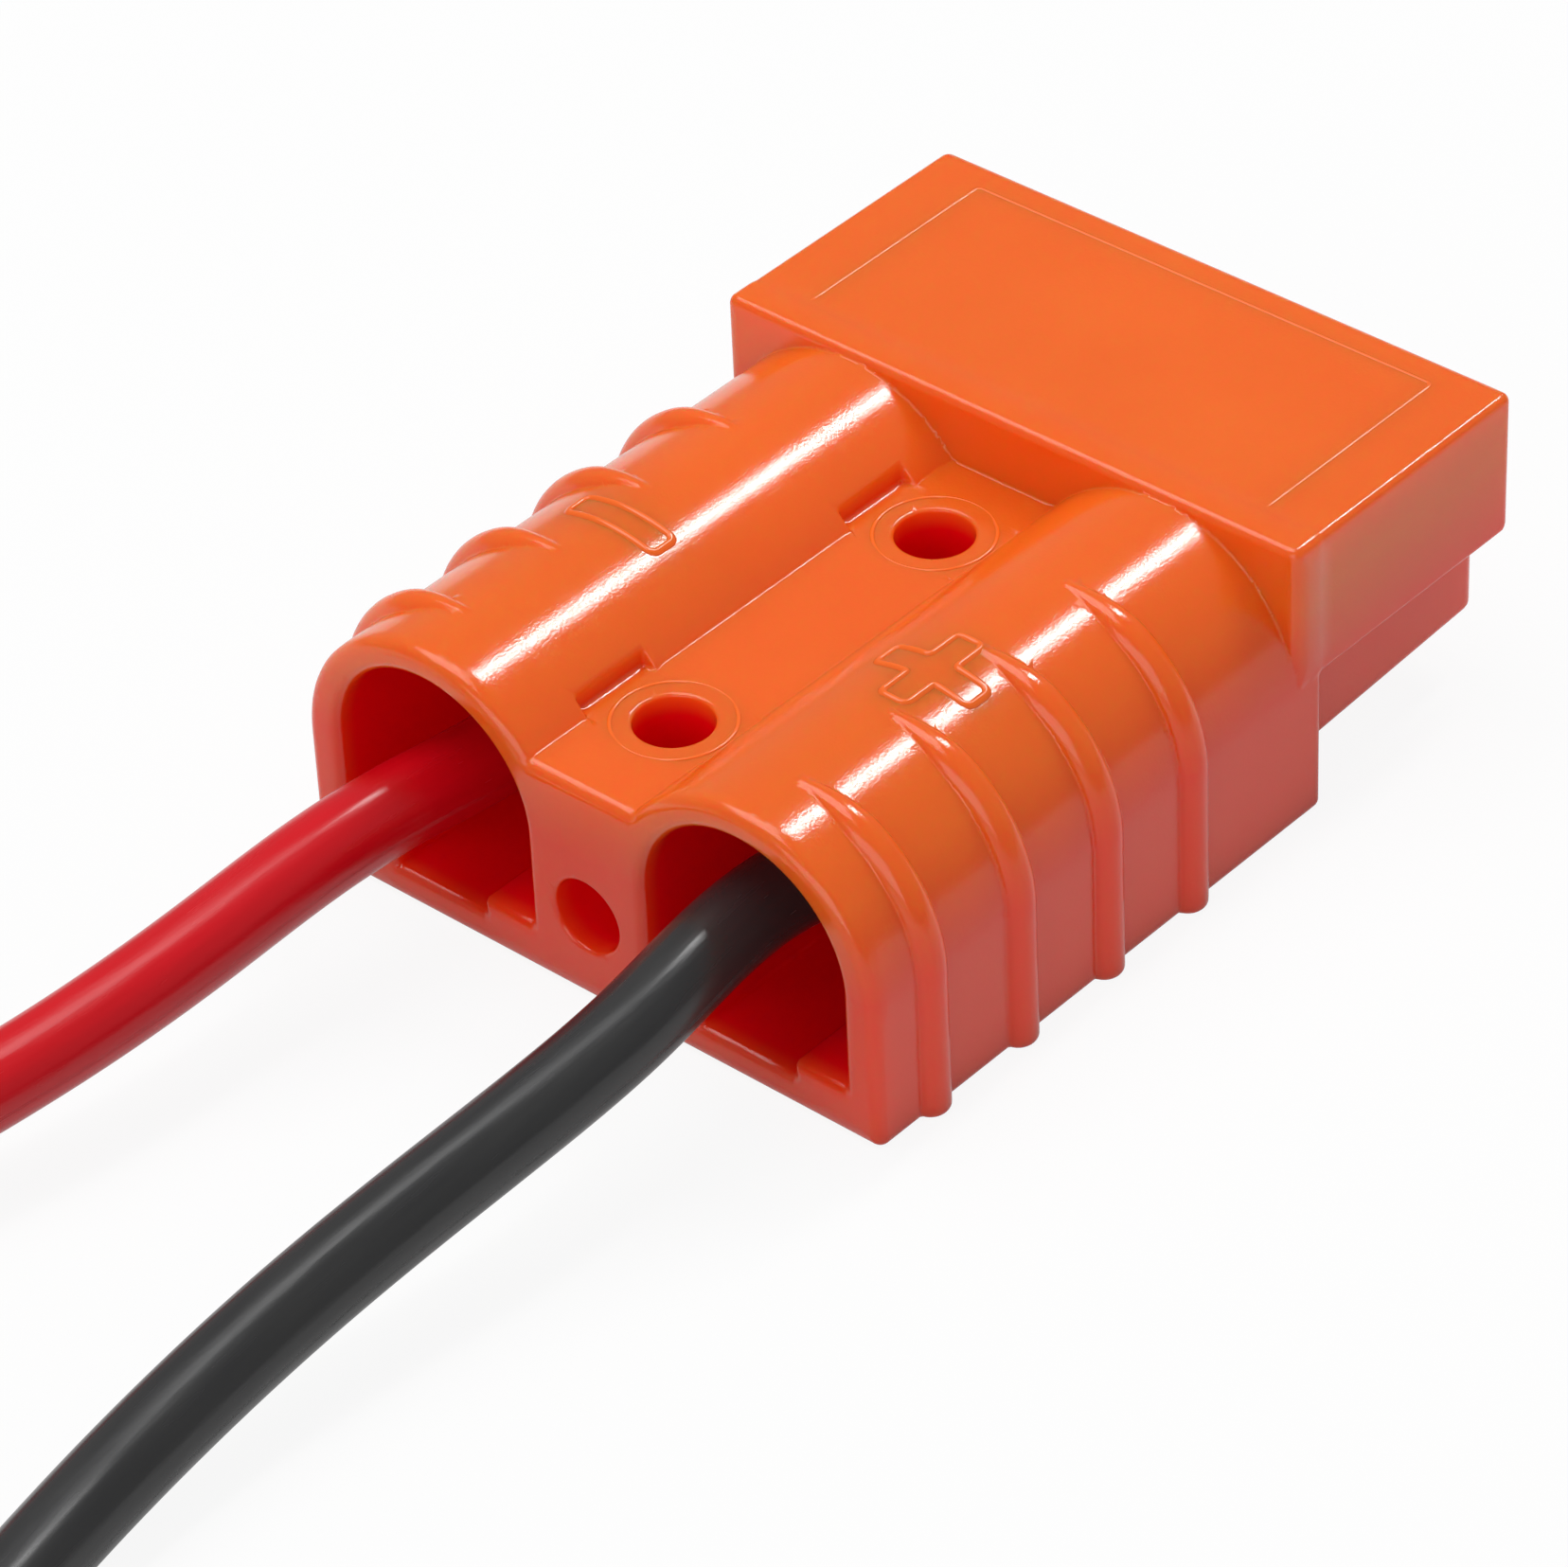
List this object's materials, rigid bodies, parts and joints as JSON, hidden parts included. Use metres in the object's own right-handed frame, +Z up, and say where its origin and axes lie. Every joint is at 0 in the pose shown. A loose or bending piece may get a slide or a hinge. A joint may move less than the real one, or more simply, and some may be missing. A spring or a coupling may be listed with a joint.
{
  "type": "genderless power connector",
  "caption": "Flat two-pole genderless power connector with spring-loaded contacts, wired with a red and a black lead that end in ring terminals.",
  "frame": {"origin": "middle of the housing's base, on the surface it lies on", "axes": "+X across the poles, from the red lead to the black lead; +Y towards the mating end; +Z up"},
  "size_m": [0.0837, 0.1982, 0.0162],
  "materials": {
    "housing_plastic": "glossy moulded orange-red",
    "silver_plating": "bright silver plated copper",
    "spring_steel": "rolled stainless strip",
    "copper_strands": "bare stranded copper",
    "red_insulation": "satin red insulation",
    "black_insulation": "satin black insulation",
    "tin_plating": "tin plated copper",
    "red_sleeve": "shrunk polyolefin sleeve",
    "black_sleeve": "shrunk polyolefin sleeve",
    "tie_plastic": "black nylon strap"
  },
  "bodies": {
    "root": {"housing": "housing_plastic", "contact_red": "silver_plating", "contact_black": "silver_plating", "leaf_spring_red": "spring_steel", "leaf_spring_black": "spring_steel", "conductor_red": "copper_strands", "conductor_black": "copper_strands", "lead_red": "red_insulation", "lead_black": "black_insulation", "ring_terminal_red": "tin_plating", "ring_terminal_black": "tin_plating", "shrink_sleeve_red": "red_sleeve", "shrink_sleeve_black": "black_sleeve", "lead_tie_red": "tie_plastic", "lead_tie_black": "tie_plastic"}
  },
  "joints": []
}
